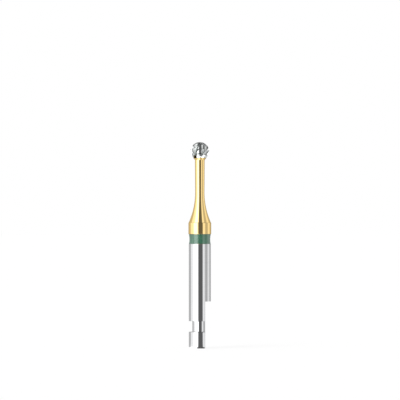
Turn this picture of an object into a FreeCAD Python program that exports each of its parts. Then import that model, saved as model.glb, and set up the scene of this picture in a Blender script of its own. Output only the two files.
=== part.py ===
import FreeCAD, Part
import os

import Sketcher

# Round dental bur with a latch shank, head up, standing on its latch end.
# The axis of the bur is Z and the origin lies in the middle of the latch end.

document = FreeCAD.newDocument("DentalBur")
sheet = document.addObject("Spreadsheet::Sheet", "Sizes")

# Driving sizes in millimetres and degrees
SIZES = [
    # The whole bur and its shank
    ("TotalLength", 22.0, "latch end to the pole of the head"),
    ("ShankDiameter", 2.35, "right-angle shank"),
    ("EndChamfer", 0.15, "chamfer round the latch end"),
    ("LatchGrooveStart", 1.75, "latch end to the latch groove"),
    ("LatchGrooveWidth", 1.15, "width of the latch groove"),
    ("LatchGrooveDiameter", 1.6, "root of the latch groove"),
    ("FlatHeight", 1.75, "flat to the far side of the shank"),
    ("FlatLength", 5.0, "latch end to the end of the flat"),
    # The hollow that carries the colour ring
    ("RingStart", 11.14, "latch end to the lower edge of the ring"),
    ("RingWidth", 1.05, "length of the ring along the shank"),
    ("RingFloorDiameter", 2.0, "floor of the turned groove"),
    ("RingLowerDiameter", 2.32, "ring at its lower edge"),
    ("RingUpperDiameter", 2.36, "ring at its upper edge"),
    ("RingHollowRadius", 2.4, "hollow of the ring's outer face"),
    # The collar, the flare and the neck
    ("CollarDiameter", 2.43, "collar above the ring"),
    ("CollarLength", 1.22, "ring to the top of the collar"),
    ("CollarEdge", 0.03, "broken upper edge of the collar"),
    ("FlareRadius", 7.9, "arc from the collar into the neck"),
    ("NeckDiameter", 0.99, "neck where the flare begins"),
    ("NeckTopDiameter", 1.04, "neck below the seat of the head"),
    ("SeatLength", 0.19, "cone that widens to the seat"),
    # The ball and its teeth
    ("HeadDiameter", 2.0, "ball over the cutting edges"),
    ("SeatDrop", 0.72, "middle of the ball to its seat"),
    ("HeadTurn", -5.5, "angle of the first flute round the axis"),
    ("BladeCount", 6, "blades and flutes"),
    ("FluteTwist", 24.7, "turn of a flute's plane about its chord"),
    ("FluteLatitude", -15.0, "latitude at which a flute is deepest"),
    ("FluteDepth", 0.3, "greatest depth of a flute"),
    ("FluteRunOut", 0.25, "offset that lifts a flute out at the pole"),
    ("FluteRootWidth", 0.03, "width of a flute's floor"),
    ("RakeAngle", 8.0, "lean of the cutting face from the radius"),
    ("BackWidth", 0.27, "width of the back slope behind a flute"),
    ("LandDrop", 0.06, "drop of the land behind the cutting edge"),
    ("MarginAngle", 11.0, "narrow round margin left at each edge"),
    # The chip breakers across the blades, on a left-hand thread
    ("BreakerTop", 32.0, "latitude of the highest chip breaker"),
    ("BreakerPitch", 36.0, "latitude from one thread to the next"),
    ("BreakerRows", 2, "chip breakers on each blade"),
    ("BreakerDepth", 0.21, "depth below the ball"),
    ("BreakerLower", 30.0, "lower wall from the radius"),
    ("BreakerUpper", 77.0, "upper wall from the radius"),
    ("BreakerDrop", 0.2, "reach of the lower wall along the ball"),
    ("BreakerRise", 0.6, "reach of the upper wall along the ball"),
    ("BreakerLead", 3.0, "start ahead of the cutting edge"),
    ("BreakerSweep", 56.0, "turn from one flute to the next"),
    # How far cutting shapes reach past the surface that they cut
    ("Overrun", 0.25, "clear of the cut surface"),
]

for row, (alias, value, meaning) in enumerate(SIZES, start=1):
    sheet.set(f"A{row}", meaning)
    sheet.set(f"B{row}", str(value))
    sheet.setAlias(f"B{row}", alias)
document.recompute()


def size(expression):
    """The present value of an expression on the sheet."""
    value = sheet.evalExpression(expression)
    return float(getattr(value, "Value", value))


def origin_feature(body, role):
    """One of the origin planes or axes of a body."""
    return next(item for item in body.Origin.OriginFeatures if item.Role == role)


def sketch_on(body, name, role, placement=None):
    """An empty sketch on an origin plane, moved by an expression."""
    sketch = body.newObject("Sketcher::SketchObject", name)
    sketch.AttachmentSupport = [(origin_feature(body, role), "")]
    sketch.MapMode = "FlatFace"
    if placement:
        sketch.setExpression("AttachmentOffset", placement)
    return sketch


def fix_point(sketch, geometry, end, corner):
    """Ties one end of an edge to a corner given by two expressions."""
    for kind, axis, expression in (("DistanceX", -2, corner[0]), ("DistanceY", -1, corner[1])):
        if expression == "0":
            sketch.addConstraint(Sketcher.Constraint("PointOnObject", geometry, end, axis))
            continue
        distance = Sketcher.Constraint(kind, -1, 1, geometry, end, size(expression))
        index = sketch.addConstraint(distance)
        sketch.setExpression(f"Constraints[{index}]", expression)


def draw_outline(sketch, corners, arcs=None):
    """Closed outline through corners; arcs maps an edge's number to radius and turn."""
    arcs = arcs or {}
    points = [FreeCAD.Vector(size(x), size(y), 0) for x, y in corners]
    count = len(points)
    ends = []
    for number in range(count):
        start, end = points[number], points[(number + 1) % count]
        if number in arcs:
            radius, turn = arcs[number]
            chord = end - start
            side = FreeCAD.Vector(-chord.y, chord.x, 0).normalize() * turn
            reach = (size(radius) ** 2 - (chord.Length / 2) ** 2) ** 0.5
            crown = (start + end) * 0.5 + side * (reach - size(radius))
            geometry = sketch.addGeometry(Part.Arc(start, crown, end))
            first, last = (1, 2) if turn > 0 else (2, 1)
            bend = Sketcher.Constraint("Radius", geometry, size(radius))
            index = sketch.addConstraint(bend)
            sketch.setExpression(f"Constraints[{index}]", radius)
        else:
            geometry = sketch.addGeometry(Part.LineSegment(start, end))
            first, last = 1, 2
        ends.append((geometry, first, last))
    for number in range(count):
        geometry, first, last = ends[number]
        before, before_first, before_last = ends[number - 1]
        meet = Sketcher.Constraint("Coincident", before, before_last, geometry, first)
        sketch.addConstraint(meet)
        fix_point(sketch, geometry, first, corners[number])


def turned(body, sketch, name):
    """Solid of revolution of a sketch about the axis of the bur."""
    feature = body.newObject("PartDesign::Revolution", name)
    feature.Profile = sketch
    feature.ReferenceAxis = (sketch, ["V_Axis"])
    feature.Angle = 360
    sketch.Visibility = False


# Heights and radii that several pieces share
HEAD_RADIUS = "Sizes.HeadDiameter / 2"
HEAD_MIDDLE = f"(Sizes.TotalLength - {HEAD_RADIUS})"
SEAT_HEIGHT = f"({HEAD_MIDDLE} - Sizes.SeatDrop)"
SEAT_RADIUS = f"sqrt(({HEAD_RADIUS}) ^ 2 - Sizes.SeatDrop ^ 2)"
RING_TOP = "(Sizes.RingStart + Sizes.RingWidth)"
RING_FLOOR = "Sizes.RingFloorDiameter / 2"


def make_shank():
    """One turned steel piece, from the seat of the head down to the latch end."""
    body = document.addObject("PartDesign::Body", "Shank")
    body.Label = "shank"
    outline = sketch_on(body, "ShankOutline", "XZ_Plane")

    shank_radius = "Sizes.ShankDiameter / 2"
    collar_top = f"({RING_TOP} + Sizes.CollarLength)"
    flare_end = "(Sizes.CollarDiameter / 2 - Sizes.CollarEdge)"
    flare_rise = f"({flare_end} - Sizes.NeckDiameter / 2)"
    flare_length = f"sqrt(2 * Sizes.FlareRadius * {flare_rise} - {flare_rise} ^ 2)"
    groove_top = "Sizes.LatchGrooveStart + Sizes.LatchGrooveWidth"
    corners = [
        ("0", "0"),
        (f"{shank_radius} - Sizes.EndChamfer", "0"),
        (shank_radius, "Sizes.EndChamfer"),
        (shank_radius, "Sizes.LatchGrooveStart"),
        ("Sizes.LatchGrooveDiameter / 2", "Sizes.LatchGrooveStart"),
        ("Sizes.LatchGrooveDiameter / 2", groove_top),
        (shank_radius, groove_top),
        (shank_radius, "Sizes.RingStart"),
        (RING_FLOOR, "Sizes.RingStart"),
        (RING_FLOOR, RING_TOP),
        ("Sizes.CollarDiameter / 2", RING_TOP),
        ("Sizes.CollarDiameter / 2", f"{collar_top} - Sizes.CollarEdge"),
        (flare_end, collar_top),
        ("Sizes.NeckDiameter / 2", f"{collar_top} + {flare_length}"),
        ("Sizes.NeckTopDiameter / 2", f"{SEAT_HEIGHT} - Sizes.SeatLength"),
        (SEAT_RADIUS, SEAT_HEIGHT),
        ("0", SEAT_HEIGHT),
    ]
    flare_edge = 12
    draw_outline(outline, corners, {flare_edge: ("Sizes.FlareRadius", -1)})
    turned(body, outline, "TurnedShank")

    # The flat of the latch end is milled from the end upwards
    flat = sketch_on(body, "LatchFlat", "XY_Plane")
    flat_place = f"Sizes.FlatHeight - {shank_radius}"
    outside = f"{shank_radius} + Sizes.Overrun"
    draw_outline(flat, [
        (flat_place, f"-({outside})"),
        (outside, f"-({outside})"),
        (outside, outside),
        (flat_place, outside),
    ])
    milled = body.newObject("PartDesign::Pocket", "MilledFlat")
    milled.Profile = flat
    milled.Reversed = True
    milled.setExpression("Length", "Sizes.FlatLength")
    flat.Visibility = False
    return body


def make_colour_ring():
    """Lacquer that fills the turned groove, with a hollow outer face."""
    body = document.addObject("PartDesign::Body", "ColourRing")
    body.Label = "colour_ring"
    outline = sketch_on(body, "RingOutline", "XZ_Plane")
    corners = [
        (RING_FLOOR, "Sizes.RingStart"),
        ("Sizes.RingLowerDiameter / 2", "Sizes.RingStart"),
        ("Sizes.RingUpperDiameter / 2", RING_TOP),
        (RING_FLOOR, RING_TOP),
    ]
    draw_outline(outline, corners, {1: ("Sizes.RingHollowRadius", -1)})
    turned(body, outline, "LacquerRing")
    return body


# Path of a flute
# A flute follows the circle in which a tilted plane cuts the ball. The plane passes
# through the pole and through the equator, and is turned by FluteTwist about the
# chord between them, so that the flute leans to the right below the equator.
PLANE_OFFSET = f"({HEAD_RADIUS} * sin(Sizes.FluteTwist) / sqrt(2))"
CIRCLE_RADIUS = f"sqrt(({HEAD_RADIUS}) ^ 2 - {PLANE_OFFSET} ^ 2)"
PLANE_LEAN = "asin(sin(Sizes.FluteTwist) / sqrt(2))"


def flute_point(inward, along):
    """Corner of the flute's section, from its depth and its distance round the ball."""
    across = f"({CIRCLE_RADIUS} - ({inward}) * cos({PLANE_LEAN}) + ({along}) * sin({PLANE_LEAN}))"
    beside = f"(({inward}) * sin({PLANE_LEAN}) + ({along}) * cos({PLANE_LEAN}))"
    return across, beside


def cut_flutes(body):
    """V-shaped flutes, each with a cutting face, a back slope and a flat land."""
    normal = (
        f"vector({PLANE_OFFSET} * sin(Sizes.FluteTwist) / sqrt(2); "
        f"-{PLANE_OFFSET} * cos(Sizes.FluteTwist); "
        f"{HEAD_MIDDLE} + {PLANE_OFFSET} * sin(Sizes.FluteTwist) / sqrt(2))"
    )
    place = (
        f"placement({normal}; rotation(vector(-1; 0; 1); Sizes.FluteTwist) * "
        "rotation(vector(0; 1; 0); -Sizes.FluteLatitude))"
    )
    section = sketch_on(body, "FluteSection", "XY_Plane", place)

    root_start = "Sizes.FluteDepth * tan(Sizes.RakeAngle)"
    back_start = f"({root_start} + Sizes.FluteRootWidth)"
    back_end = f"({back_start} + Sizes.BackWidth)"
    back_sink = f"({HEAD_RADIUS} - sqrt(({HEAD_RADIUS}) ^ 2 - {back_end} ^ 2) + Sizes.LandDrop)"
    land_angle = "(360 / Sizes.BladeCount - Sizes.MarginAngle)"
    land_end = f"({HEAD_RADIUS} * sin({land_angle}))"
    land_sink = f"({HEAD_RADIUS} * (1 - cos({land_angle})))"
    draw_outline(section, [
        flute_point("Sizes.FluteDepth", root_start),
        flute_point("Sizes.FluteDepth", back_start),
        flute_point(back_sink, back_end),
        flute_point(land_sink, land_end),
        flute_point("-Sizes.Overrun", land_end),
        flute_point("-Sizes.Overrun", "-Sizes.Overrun * tan(Sizes.RakeAngle)"),
    ])
    # The axis of the wheel's path lies behind the middle of the circle, which
    # makes the flute shallower towards the pole, where it runs out.
    ends = [("-Sizes.FluteRunOut", f"-({HEAD_RADIUS})"), ("-Sizes.FluteRunOut", HEAD_RADIUS)]
    start, end = [FreeCAD.Vector(size(x), size(y), 0) for x, y in ends]
    axis = section.addGeometry(Part.LineSegment(start, end), True)
    fix_point(section, axis, 1, ends[0])
    fix_point(section, axis, 2, ends[1])

    flute = body.newObject("PartDesign::Groove", "Flute")
    flute.Profile = section
    flute.ReferenceAxis = (section, ["Axis0"])
    flute.Angle = 240
    flute.Midplane = True
    section.Visibility = False

    flutes = body.newObject("PartDesign::PolarPattern", "Flutes")
    flutes.Originals = [flute]
    flutes.Axis = (origin_feature(body, "Z_Axis"), [""])
    flutes.Angle = 360
    flutes.setExpression("Occurrences", "Sizes.BladeCount")
    body.Tip = flutes


def breaker_point(latitude, outward, along):
    """Corner of a chip breaker's section, out from its root and along the ball."""
    reach = f"({HEAD_RADIUS} - Sizes.BreakerDepth + {outward})"
    across = f"{reach} * cos({latitude}) - ({along}) * sin({latitude})"
    up = f"{reach} * sin({latitude}) + ({along}) * cos({latitude})"
    return across, up


def cut_chip_breaker(body, blade, row):
    """One notch across a blade, turned about the bur's axis from flute to flute."""
    latitude = f"(Sizes.BreakerTop - Sizes.BreakerPitch * ({row} + {blade} / Sizes.BladeCount))"
    ball = f"({HEAD_RADIUS} * cos({latitude}))"
    level = f"({HEAD_RADIUS} * sin({latitude}))"
    edge_lean = f"asin(tan(Sizes.FluteTwist) / sqrt(2) * ({ball} + {level} - {HEAD_RADIUS}) / {ball})"
    edge_angle = f"{edge_lean} + 180 deg + {blade} * 360 deg / Sizes.BladeCount"
    half_turn = "(Sizes.BreakerLead - Sizes.BreakerSweep / 2) * 1 deg"
    place = f"placement(vector(0; {HEAD_MIDDLE}; 0); rotation(vector(0; 1; 0); {edge_angle} + {half_turn}))"
    notch = sketch_on(body, f"Breaker{blade}{row}Section", "XZ_Plane", place)
    draw_outline(notch, [
        breaker_point(latitude, "0", "0"),
        breaker_point(latitude, "Sizes.BreakerDrop / tan(Sizes.BreakerLower)", "-Sizes.BreakerDrop"),
        breaker_point(latitude, "Sizes.BreakerRise / tan(Sizes.BreakerUpper)", "Sizes.BreakerRise"),
    ])
    breaker = body.newObject("PartDesign::Groove", f"Breaker{blade}{row}")
    breaker.Profile = notch
    breaker.ReferenceAxis = (notch, ["V_Axis"])
    breaker.setExpression("Angle", "Sizes.BreakerSweep")
    breaker.Midplane = True
    notch.Visibility = False


def make_cutting_head():
    """Carbide ball with right-hand flutes and chip breakers, flat where it is brazed."""
    body = document.addObject("PartDesign::Body", "CuttingHead")
    body.Label = "cutting_head"
    outline = sketch_on(body, "BallOutline", "XZ_Plane")
    corners = [
        ("0", SEAT_HEIGHT),
        (SEAT_RADIUS, SEAT_HEIGHT),
        ("0", "Sizes.TotalLength"),
    ]
    draw_outline(outline, corners, {1: (HEAD_RADIUS, 1)})
    turned(body, outline, "GroundBall")
    cut_flutes(body)
    for row in range(int(size("Sizes.BreakerRows"))):
        for blade in range(int(size("Sizes.BladeCount"))):
            cut_chip_breaker(body, blade, row)
    turn = "placement(vector(0; 0; 0); rotation(vector(0; 0; 1); Sizes.HeadTurn))"
    body.setExpression("Placement", turn)
    return body


pieces = [make_shank(), make_colour_ring(), make_cutting_head()]
document.recompute()

# Every object has to be in order before anything is written
CUTS = ("PartDesign::Pocket", "PartDesign::Groove", "PartDesign::PolarPattern")
for item in document.Objects:
    faults = [state for state in item.State if state in ("Invalid", "Error")]
    if faults:
        raise RuntimeError(f"{item.Label}: {faults}")
    if item.TypeId in CUTS and item.Shape.Volume >= item.BaseFeature.Shape.Volume:
        raise RuntimeError(f"{item.Label}: cuts nothing")
for piece in pieces:
    if piece.Shape.isNull() or not piece.Shape.isValid():
        raise RuntimeError(f"{piece.Label}: the shape is not valid")

os.makedirs("parts", exist_ok=True)
for piece in pieces:
    piece.Shape.exportStep(f"parts/{piece.Label}.step")
    print(piece.Label, len(piece.Shape.Solids), "solid,", round(piece.Shape.Volume, 4), "mm3")
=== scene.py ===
import math

import bpy
from mathutils import Matrix, Vector


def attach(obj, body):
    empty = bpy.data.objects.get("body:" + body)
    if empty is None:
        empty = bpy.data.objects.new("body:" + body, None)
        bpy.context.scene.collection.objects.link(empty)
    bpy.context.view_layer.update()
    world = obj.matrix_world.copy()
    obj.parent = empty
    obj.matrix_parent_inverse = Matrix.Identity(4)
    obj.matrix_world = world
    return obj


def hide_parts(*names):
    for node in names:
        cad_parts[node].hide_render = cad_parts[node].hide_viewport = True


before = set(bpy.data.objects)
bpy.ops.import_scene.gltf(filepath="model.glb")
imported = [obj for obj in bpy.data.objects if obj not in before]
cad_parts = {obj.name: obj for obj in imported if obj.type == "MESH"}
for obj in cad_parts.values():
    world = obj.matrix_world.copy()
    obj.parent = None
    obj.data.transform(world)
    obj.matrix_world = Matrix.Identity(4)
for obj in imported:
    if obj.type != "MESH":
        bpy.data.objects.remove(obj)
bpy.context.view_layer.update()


# The shank below the colour ring: stainless steel, turned from bar and then ground
# round. The latch end has a chamfer, a groove for the handpiece's latch and a milled
# flat that turns the bur. It goes up inside the ring as far as the ring's middle.
mm = 0.001
shank_radius = 1.175
ring_start = 11.14
ring_end = 12.19
ring_floor = 1.0
ring_edge = 0.015
ring_middle = (ring_start + ring_end) / 2
flat_place = 0.575
flat_end = 5.0
end_chamfer = 0.15
latch_groove_radius = 0.8
latch_groove_start = 1.75
latch_groove_end = 2.9
broken_edge = 0.025
groove_corner = 0.03


def turned(name, profile, bored=False, sides=256):
    """Draws a rim up through the (radius, height) pairs of a profile and closes it."""
    bpy.ops.object.select_all(action="DESELECT")
    radius, height = profile[0]
    bpy.ops.mesh.primitive_circle_add(
        vertices=sides, radius=radius * mm, location=(0, 0, height * mm))
    piece = bpy.context.object
    piece.name = name
    bpy.ops.object.transform_apply(location=True, rotation=False, scale=False)
    bpy.ops.object.mode_set(mode="EDIT")
    bpy.ops.mesh.select_all(action="SELECT")
    for next_radius, next_height in profile[1:]:
        rise = (0, 0, (next_height - height) * mm)
        bpy.ops.mesh.extrude_region_move(TRANSFORM_OT_translate={"value": rise})
        grow = next_radius / radius
        bpy.ops.transform.resize(value=(grow, grow, 1), center_override=(0, 0, 0))
        radius, height = next_radius, next_height
    bpy.ops.mesh.select_all(action="DESELECT")
    bpy.ops.mesh.select_non_manifold(extend=False)
    if bored:
        bpy.ops.mesh.bridge_edge_loops()
    else:
        bpy.ops.mesh.fill_holes(sides=0)
    bpy.ops.mesh.select_all(action="SELECT")
    bpy.ops.mesh.normals_make_consistent(inside=False)
    bpy.ops.object.mode_set(mode="OBJECT")
    return piece


def cut_away(piece, cutter):
    """Takes a closed cutter out of a piece and removes the cutter."""
    bpy.ops.object.select_all(action="DESELECT")
    bpy.context.view_layer.objects.active = piece
    piece.select_set(True)
    bpy.ops.object.modifier_add(type="BOOLEAN")
    cut = piece.modifiers[-1]
    cut.operation = "DIFFERENCE"
    cut.solver = "EXACT"
    cut.object = cutter
    bpy.ops.object.modifier_apply(modifier=cut.name)
    bpy.data.objects.remove(cutter)


def finished(piece, angle):
    """Smooth shading with crisp edges, and the piece on the bur's one body."""
    bpy.ops.object.select_all(action="DESELECT")
    bpy.context.view_layer.objects.active = piece
    piece.select_set(True)
    bpy.ops.object.shade_smooth_by_angle(angle=math.radians(angle))
    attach(piece, "root")


class Wire:
    """A socket in a material's node tree. Sums written with it add Math nodes."""

    def __init__(self, tree, socket):
        self.tree = tree
        self.socket = socket

    def node(self, kind, settings, inputs, output=0):
        """Adds any node: first its settings, then its inputs' values or wires."""
        made = self.tree.nodes.new(kind)
        for name, value in settings.items():
            if name == "stops":
                for place, colour in value[1:-1]:
                    made.color_ramp.elements.new(place)
                for element, (place, colour) in zip(made.color_ramp.elements, value):
                    element.position = place
                    element.color = (*colour, 1)
            else:
                setattr(made, name, value)
        for name, value in inputs.items():
            if isinstance(value, Wire):
                self.tree.links.new(value.socket, made.inputs[name])
            else:
                made.inputs[name].default_value = value
        return Wire(self.tree, made.outputs[output])

    def math(self, operation, first, second=0.0):
        return self.node("ShaderNodeMath", {"operation": operation}, {0: first, 1: second})

    def __add__(self, other):
        return self.math("ADD", self, other)

    def __radd__(self, other):
        return self.math("ADD", other, self)

    def __sub__(self, other):
        return self.math("SUBTRACT", self, other)

    def __rsub__(self, other):
        return self.math("SUBTRACT", other, self)

    def __mul__(self, other):
        return self.math("MULTIPLY", self, other)

    def __rmul__(self, other):
        return self.math("MULTIPLY", other, self)

    def __truediv__(self, other):
        return self.math("DIVIDE", self, other)

    def __rtruediv__(self, other):
        return self.math("DIVIDE", other, self)

    def part(self, name):
        """One axis of a place."""
        return self.node("ShaderNodeSeparateXYZ", {}, {0: self}, name)

    def stretched(self, x, y, z):
        """A place scaled along each axis, so that a pattern runs in fine lines."""
        scale = Vector((x, y, z))
        return self.node("ShaderNodeVectorMath", {"operation": "MULTIPLY"}, {0: self, 1: scale})

    def noise(self, scale, detail=2.0, roughness=0.5):
        settings = {"noise_dimensions": "3D"}
        inputs = {"Vector": self, "Scale": scale, "Detail": detail, "Roughness": roughness}
        return self.node("ShaderNodeTexNoise", settings, inputs)

    def fade(self, low, high, start=0.0, end=1.0):
        """Goes smoothly from start to end while this value goes from low to high."""
        settings = {"interpolation_type": "SMOOTHSTEP", "clamp": True}
        inputs = {0: self, 1: low, 2: high, 3: start, 4: end}
        return self.node("ShaderNodeMapRange", settings, inputs)

    def between(self, first, second):
        """Two colours, or wires of colours, mixed by this value."""
        settings = {"data_type": "RGBA", "clamp_factor": True}
        return self.node("ShaderNodeMix", settings, {0: self, 6: first, 7: second}, 2)

    def bump(self, strength, depth):
        """The slope of this value as a height, over a depth in metres."""
        inputs = {"Height": self, "Strength": strength, "Distance": depth}
        return self.node("ShaderNodeBump", {}, inputs)

    def into(self, shader, name):
        self.tree.links.new(self.socket, shader.inputs[name])


def finish_of(piece, name, constants):
    """A new material on a piece, its shader with constant values, and its place wire."""
    material = bpy.data.materials.new(name)
    material.use_nodes = True
    shader = material.node_tree.nodes["Principled BSDF"]
    for socket, value in constants.items():
        shader.inputs[socket].default_value = value
    piece.data.materials.clear()
    piece.data.materials.append(material)
    coordinates = material.node_tree.nodes.new("ShaderNodeTexCoord")
    return shader, Wire(material.node_tree, coordinates.outputs["Object"])


steel_profile = [
    (shank_radius - end_chamfer, 0.0), (shank_radius, end_chamfer),
    (shank_radius, latch_groove_start - broken_edge),
    (shank_radius - broken_edge, latch_groove_start),
    (latch_groove_radius + groove_corner, latch_groove_start),
    (latch_groove_radius, latch_groove_start + groove_corner),
    (latch_groove_radius, latch_groove_end - groove_corner),
    (latch_groove_radius + groove_corner, latch_groove_end),
    (shank_radius - broken_edge, latch_groove_end),
    (shank_radius, latch_groove_end + broken_edge),
    (shank_radius, ring_start - ring_edge), (shank_radius - ring_edge, ring_start),
    (ring_floor, ring_start), (ring_floor, ring_middle),
]
latch_shank = turned("latch_shank", steel_profile)

bpy.ops.object.select_all(action="DESELECT")
bpy.ops.mesh.primitive_cube_add(size=1, location=(0, 0, 0))
mill = bpy.context.object
mill_width = 1.5
mill_height = 6
bpy.ops.transform.resize(
    value=(mill_width * mm, 4 * mm, mill_height * mm), center_override=(0, 0, 0))
mill_place = ((flat_place + mill_width / 2) * mm, 0, (flat_end - mill_height / 2) * mm)
bpy.ops.transform.translate(value=mill_place)
bpy.ops.object.transform_apply(location=True, rotation=False, scale=True)
cut_away(latch_shank, mill)
finished(latch_shank, 20)
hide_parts("shank")

steel, place = finish_of(latch_shank, "polished steel", {"Metallic": 1.0})
ground_lines = place.stretched(1, 1, 60).noise(900.0, 3.0, 0.6)
patches = place.stretched(1, 1, 0.4).noise(500.0, 2.0)
steel_colour = ground_lines.fade(0.3, 0.7).between((0.63, 0.635, 0.645, 1), (0.7, 0.7, 0.705, 1))
steel_colour.into(steel, "Base Color")
(0.03 + 0.03 * patches + 0.02 * ground_lines).into(steel, "Roughness")
ground_lines.bump(0.03, 0.0000003).into(steel, "Normal")


# The front of the same steel piece, from the middle of the ring to the seat of the
# head: collar, flare and slim neck. It is gold plated, bright and without a seam,
# over the fine rings that the lathe and the polishing left.
collar_radius = 1.215
collar_top = 13.41
flare_radius = 7.9
neck_radius = 0.495
seat_height = 20.28
seat_radius = 0.694

collar_edge = 0.03
flare_foot = collar_radius - collar_edge
flare_rise = flare_foot - neck_radius
flare_length = math.sqrt(2 * flare_radius * flare_rise - flare_rise ** 2)
flare = []
for step in range(49):
    up = flare_length * step / 48
    hollow = flare_radius - math.sqrt(flare_radius ** 2 - (flare_length - up) ** 2)
    flare.append((neck_radius + hollow, collar_top + up))

neck_foot = collar_top + flare_length
neck_top = seat_height - 0.2
neck = []
for step in range(1, 25):
    along = step / 24
    neck.append((neck_radius + 0.025 * along, neck_foot + (neck_top - neck_foot) * along))

gold_profile = [
    (ring_floor, ring_middle), (ring_floor, ring_end),
    (collar_radius - ring_edge, ring_end),
    (collar_radius, ring_end + ring_edge), (collar_radius, collar_top - collar_edge),
    *flare, *neck,
    (0.524, seat_height - 0.188), (0.536, seat_height - 0.172),
    (seat_radius, seat_height),
]
gold_front = turned("gold_front", gold_profile)
finished(gold_front, 20)
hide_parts("shank")

gold, place = finish_of(gold_front, "gold plating", {
    "Metallic": 1.0, "Specular Tint": (1.0, 0.86, 0.6, 1)})
lathe_rings = place.stretched(1, 1, 50).noise(900.0, 3.0, 0.6)
patches = place.noise(700.0, 2.0)
gold_colour = lathe_rings.fade(0.3, 0.7).between((0.92, 0.67, 0.28, 1), (0.96, 0.71, 0.32, 1))
gold_colour.into(gold, "Base Color")
(0.03 + 0.03 * patches + 0.02 * lathe_rings).into(gold, "Roughness")
lathe_rings.bump(0.03, 0.0000003).into(gold, "Normal")


# The colour ring: green lacquer that fills the turned groove and tells the coarseness
# of the teeth. It drew in while it dried, so its face is hollow between its edges.
ring_lower = 1.16
ring_upper = 1.18
hollow_radius = 2.4

lacquer_face = []
half_width = (ring_end - ring_start) / 2
for step in range(17):
    across = -half_width + 2 * half_width * step / 16
    sag = (
        math.sqrt(hollow_radius ** 2 - across ** 2)
        - math.sqrt(hollow_radius ** 2 - half_width ** 2))
    rim = ring_lower + (ring_upper - ring_lower) * step / 16
    lacquer_face.append((rim - sag, ring_middle + across))

colour_ring = turned(
    "green_lacquer_ring",
    [(ring_floor, ring_start), *lacquer_face, (ring_floor, ring_end)], bored=True)
finished(colour_ring, 20)
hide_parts("colour_ring")

lacquer, place = finish_of(colour_ring, "green lacquer", {
    "Metallic": 0.0, "Coat Roughness": 0.06, "Coat IOR": 1.7, "IOR": 1.5})
flow = place.noise(1500.0, 2.0)
pigment = place.noise(30000.0, 1.0)
from_middle = place.part("Z") - ring_middle * mm
to_edge = from_middle.math("ABSOLUTE", from_middle) / (half_width * mm)
edge = to_edge.fade(0.86, 1.0)
tone = (0.6 * flow + 0.4 * pigment).fade(0.35, 0.65)
body_colour = tone.between((0.034, 0.16, 0.088, 1), (0.052, 0.2, 0.115, 1))
edge.between(body_colour, (0.03, 0.1, 0.06, 1)).into(lacquer, "Base Color")
(0.28 + 0.15 * flow).into(lacquer, "Roughness")
(0.8 + 0.2 * flow).into(lacquer, "Coat Weight")
flow.bump(0.06, 0.000005).into(lacquer, "Normal")


# The head: a ball of sintered tungsten carbide, brazed to the seat and then ground.
# Six right-hand flutes run out at the pole, each with a cutting face, a back slope and
# a land; chip breakers follow a left-hand thread across all the blades.
ball_radius = 1.0
ball_middle = 21.0
blade_count = 6
head_turn = -5.5
flute_twist = math.radians(24.7)
flute_latitude = math.radians(-15)
flute_depth = 0.3
flute_run_out = 0.25
flute_root = 0.03
rake = math.radians(8)
back_width = 0.27
land_drop = 0.06
margin_angle = math.radians(11)
breaker_top = 32
breaker_pitch = 36
breaker_rows = 2
breaker_depth = 0.21
breaker_lower = math.radians(30)
breaker_upper = math.radians(77)
breaker_drop = 0.2
breaker_rise = 0.6
breaker_sweep = 56
breaker_lead = 3
overrun = 0.25

bpy.ops.object.select_all(action="DESELECT")
bpy.ops.mesh.primitive_uv_sphere_add(
    segments=192, ring_count=96, radius=ball_radius * mm, location=(0, 0, ball_middle * mm))
toothed_head = bpy.context.object
toothed_head.name = "toothed_head"
bpy.ops.object.transform_apply(location=True, rotation=False, scale=False)
bpy.ops.object.mode_set(mode="EDIT")
bpy.ops.mesh.select_all(action="SELECT")
bpy.ops.mesh.bisect(
    plane_co=(0, 0, seat_height * mm), plane_no=(0, 0, 1), use_fill=True, clear_inner=True,
    threshold=0.0000001)
bpy.ops.object.mode_set(mode="OBJECT")


def wheel_cut(corners, centre, axis, angle, steps):
    """A closed cutter: a section through corners, swept clockwise round an axis."""
    bpy.ops.object.select_all(action="DESELECT")
    bpy.ops.mesh.primitive_plane_add(size=0.001, location=corners[0] * mm)
    cutter = bpy.context.object
    bpy.ops.object.transform_apply(location=True, rotation=False, scale=False)
    bpy.ops.object.mode_set(mode="EDIT")
    bpy.ops.mesh.select_all(action="SELECT")
    bpy.ops.mesh.merge(type="CENTER")
    for corner, following in zip(corners, corners[1:]):
        step = (following - corner) * mm
        bpy.ops.mesh.extrude_region_move(TRANSFORM_OT_translate={"value": step})
    bpy.ops.mesh.select_all(action="SELECT")
    bpy.ops.mesh.edge_face_add()
    bpy.ops.mesh.spin(steps=steps, angle=angle, center=centre * mm, axis=axis)
    bpy.ops.mesh.select_all(action="SELECT")
    bpy.ops.mesh.remove_doubles(threshold=0.0000001)
    bpy.ops.mesh.normals_make_consistent(inside=False)
    bpy.ops.object.mode_set(mode="OBJECT")
    return cutter


# A flute follows the circle in which a tilted plane cuts the ball, and its wheel's
# axis lies behind the middle of that circle, so that it runs out at the pole.
plane_offset = ball_radius * math.sin(flute_twist) / math.sqrt(2)
circle_radius = math.sqrt(ball_radius ** 2 - plane_offset ** 2)
plane_lean = math.asin(math.sin(flute_twist) / math.sqrt(2))
circle_middle = Vector((
    plane_offset * math.sin(flute_twist) / math.sqrt(2),
    -plane_offset * math.cos(flute_twist),
    ball_middle + plane_offset * math.sin(flute_twist) / math.sqrt(2)))
section_turn = (
    Matrix.Rotation(flute_twist, 3, Vector((-1, 0, 1)))
    @ Matrix.Rotation(-flute_latitude, 3, "Y"))

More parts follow.
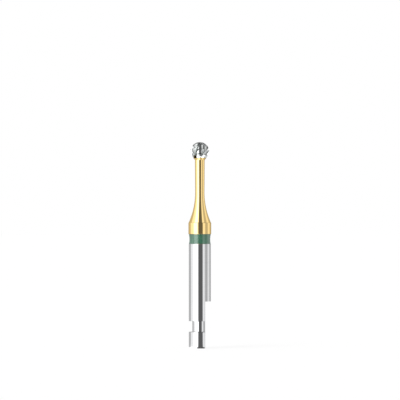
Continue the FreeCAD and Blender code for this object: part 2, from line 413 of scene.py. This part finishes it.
root_start = flute_depth * math.tan(rake)
back_start = root_start + flute_root
back_end = back_start + back_width
back_sink = ball_radius - math.sqrt(ball_radius ** 2 - back_end ** 2) + land_drop
land_angle = math.tau / blade_count - margin_angle
land_end = ball_radius * math.sin(land_angle)
land_sink = ball_radius * (1 - math.cos(land_angle))
flute_section = [
    (flute_depth, root_start), (flute_depth, back_start), (back_sink, back_end),
    (land_sink, land_end), (-overrun, land_end), (-overrun, -overrun * math.tan(rake)),
]
wheel_axis = section_turn @ Vector((0, 1, 0))
wheel_middle = circle_middle + section_turn @ Vector((-flute_run_out, 0, 0))
first_turn = Matrix.Rotation(math.radians(head_turn), 3, "Z")
wheel_sweep = math.radians(240)
start_turn = Matrix.Rotation(wheel_sweep / 2, 3, wheel_axis)
corners = []
for inward, along in flute_section:
    across = circle_radius - inward * math.cos(plane_lean) + along * math.sin(plane_lean)
    beside = inward * math.sin(plane_lean) + along * math.cos(plane_lean)
    corner = circle_middle + section_turn @ Vector((across, beside, 0))
    corners.append(first_turn @ (wheel_middle + start_turn @ (corner - wheel_middle)))
flute_cutter = wheel_cut(
    corners, first_turn @ wheel_middle, first_turn @ wheel_axis, wheel_sweep, 160)
for blade in range(blade_count):
    bpy.ops.object.select_all(action="DESELECT")
    bpy.context.view_layer.objects.active = flute_cutter
    flute_cutter.select_set(True)
    bpy.ops.object.duplicate()
    cutter = bpy.context.object
    bpy.ops.transform.rotate(
        value=math.tau * blade / blade_count, orient_axis="Z", center_override=(0, 0, 0))
    bpy.ops.object.transform_apply(location=True, rotation=True, scale=False)
    cut_away(toothed_head, cutter)
bpy.data.objects.remove(flute_cutter)

for row in range(breaker_rows):
    for blade in range(blade_count):
        latitude = math.radians(breaker_top - breaker_pitch * (row + blade / blade_count))
        level = ball_radius * math.sin(latitude)
        ball = ball_radius * math.cos(latitude)
        edge_lean = math.asin(
            math.tan(flute_twist) / math.sqrt(2) * (ball + level - ball_radius) / ball)
        edge = math.degrees(edge_lean) + 180 + 360 * blade / blade_count + head_turn
        start = math.radians(edge + breaker_lead)
        corners = []
        for outward, along in (
                (0, 0),
                (breaker_drop / math.tan(breaker_lower), -breaker_drop),
                (breaker_rise / math.tan(breaker_upper), breaker_rise)):
            reach = ball_radius - breaker_depth + outward
            across = reach * math.cos(latitude) - along * math.sin(latitude)
            up = reach * math.sin(latitude) + along * math.cos(latitude)
            corners.append(Vector((
                across * math.cos(start), across * math.sin(start), ball_middle + up)))
        cutter = wheel_cut(
            corners, Vector((0, 0, 0)), Vector((0, 0, 1)), math.radians(breaker_sweep), 40)
        cut_away(toothed_head, cutter)
finished(toothed_head, 22)
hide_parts("cutting_head")

carbide, place = finish_of(toothed_head, "ground carbide", {"Metallic": 1.0})
ball_centre = (0, 0, ball_middle * mm)
from_centre = place.node(
    "ShaderNodeVectorMath", {"operation": "DISTANCE"}, {0: place, 1: ball_centre}, "Value")
depth = (ball_radius * mm - from_centre) / mm
# The base colour turns darker with depth in the flutes and chip breakers: painted shade in the
# hollows. The roughness rises there too.
hollow = depth.fade(0.12, 0.28)
height = place.part("Z")
wheel_lines = place.stretched(1, 1, 25).noise(1500.0, 3.0, 0.6)
grain = place.noise(45000.0, 2.0)
tone = (0.6 * wheel_lines + 0.4 * grain).fade(0.3, 0.7)
ground = tone.between((0.56, 0.58, 0.57, 1), (0.66, 0.68, 0.68, 1))
ground_with_painted_shade = hollow.between(ground, (0.34, 0.36, 0.35, 1))
seat_edge = height / mm + 0.12 * place.noise(3500.0, 2.0)
near_seat = seat_edge.fade(20.33, 20.42, 0.6, 0.0) * depth.fade(0.04, 0.12)
near_seat.between(ground_with_painted_shade, (0.85, 0.6, 0.24, 1)).into(carbide, "Base Color")
(0.12 + 0.08 * grain + 0.1 * hollow + 0.15 * near_seat).into(carbide, "Roughness")
(0.7 * wheel_lines + 0.3 * grain).bump(0.15, 0.000002).into(carbide, "Normal")


# The studio: a floor that the camera sees plain white, in a room with soft boxes at
# both sides, a dark gap where the camera stands and a dark ceiling, and one soft lamp for
# the shadow. In metal the floor shows the room's light levels as a painted reflection.
# The camera stands about level with the foot of the neck.
soft_box = 3.0


def room_light(place):
    """The level of the room's light, as metal sees it, by the direction of a place."""
    # 0 behind on the left, 0.5 in front at the camera, 1 behind on the right
    front = place.part("Y") * -1.0
    turn = place.part("X").math("ARCTAN2", place.part("X"), front) / math.tau + 0.5
    levels = (
        (-180, 0.35), (-150, 0.65), (-112, 0.65), (-98, 1.3), (-70, 1.3),
        (-58, soft_box), (-30, soft_box), (-12, 0.15), (26, 0.15), (36, 1.2),
        (46, 1.2), (62, 0.6), (82, 0.6), (96, 1.1), (110, 1.1), (124, 0.65), (180, 0.35))
    stops = []
    for angle, level in levels:
        stops.append(((angle + 180) / 360, (level / soft_box,) * 3))
    ramp = turn.node("ShaderNodeValToRGB", {"stops": stops}, {"Fac": turn})
    return ramp * soft_box


def rays(tree):
    """Whether the camera sees a surface, also through glass, and whether metal does."""
    path = tree.nodes.new("ShaderNodeLightPath")
    camera_ray = Wire(tree, path.outputs["Is Camera Ray"])
    seen = camera_ray + Wire(tree, path.outputs["Is Transmission Ray"])
    return seen, Wire(tree, path.outputs["Is Glossy Ray"])


bpy.ops.object.select_all(action="DESELECT")
bpy.ops.mesh.primitive_plane_add(size=3.0, location=(0, 0, 0))
floor = bpy.context.object
floor.name = "floor"
floor_material = bpy.data.materials.new("white floor")
floor_material.use_nodes = True
floor.data.materials.append(floor_material)
tree = floor_material.node_tree
tree.nodes["Principled BSDF"].inputs["Base Color"].default_value = (0.9, 0.9, 0.9, 1)
tree.nodes["Principled BSDF"].inputs["Roughness"].default_value = 0.8
seen, glossy = rays(tree)
place = Wire(tree, tree.nodes.new("ShaderNodeTexCoord").outputs["Object"])
# Seen in metal the floor glows with the room's light levels: a painted reflection of the soft
# boxes and the dark gap.
strength = 1.1 * seen + glossy * room_light(place)
white = seen.node("ShaderNodeEmission", {}, {"Color": (1, 1, 1, 1), "Strength": strength})
matte = Wire(tree, tree.nodes["Principled BSDF"].outputs[0])
mixed = seen.node("ShaderNodeMixShader", {}, {0: 0.7 * seen + glossy, 1: matte, 2: white})
mixed.into(tree.nodes["Material Output"], "Surface")

world = bpy.data.worlds.new("studio")
bpy.context.scene.world = world
world.use_nodes = True
tree = world.node_tree
seen, glossy = rays(tree)
direction = Wire(tree, tree.nodes.new("ShaderNodeTexCoord").outputs["Generated"])
ceiling = direction.part("Z").fade(0.76, 0.92, 1.0, 0.12)
plain = 1.0 - seen - glossy
strength = seen + 0.6 * plain + glossy * (room_light(direction) * ceiling)
strength.into(tree.nodes["Background"], "Strength")
tree.nodes["Background"].inputs["Color"].default_value = (1, 1, 1, 1)

lamp = bpy.data.lights.new("soft lamp", "SUN")
lamp.angle = math.radians(25)
lamp.energy = 1.2
lamp_object = bpy.data.objects.new("soft_lamp", lamp)
bpy.context.scene.collection.objects.link(lamp_object)
lamp_object.location = (-0.45, -0.5, 0.75)
lamp_object.rotation_euler = (-lamp_object.location).to_track_quat("-Z", "Y").to_euler()
lamp_object.visible_glossy = False

camera = bpy.data.cameras.new("camera")
camera_object = bpy.data.objects.new("camera", camera)
bpy.context.scene.collection.objects.link(camera_object)
bpy.context.scene.camera = camera_object
camera_distance = 0.45
camera_height = 0.01582
field_width = 0.0427
camera_object.location = (0.00002, -camera_distance, camera_height)
camera_object.rotation_euler = (math.radians(90), 0, 0)
camera.sensor_width = 36
camera.lens = 36 * camera_distance / field_width

bpy.context.scene.view_settings.view_transform = "Standard"
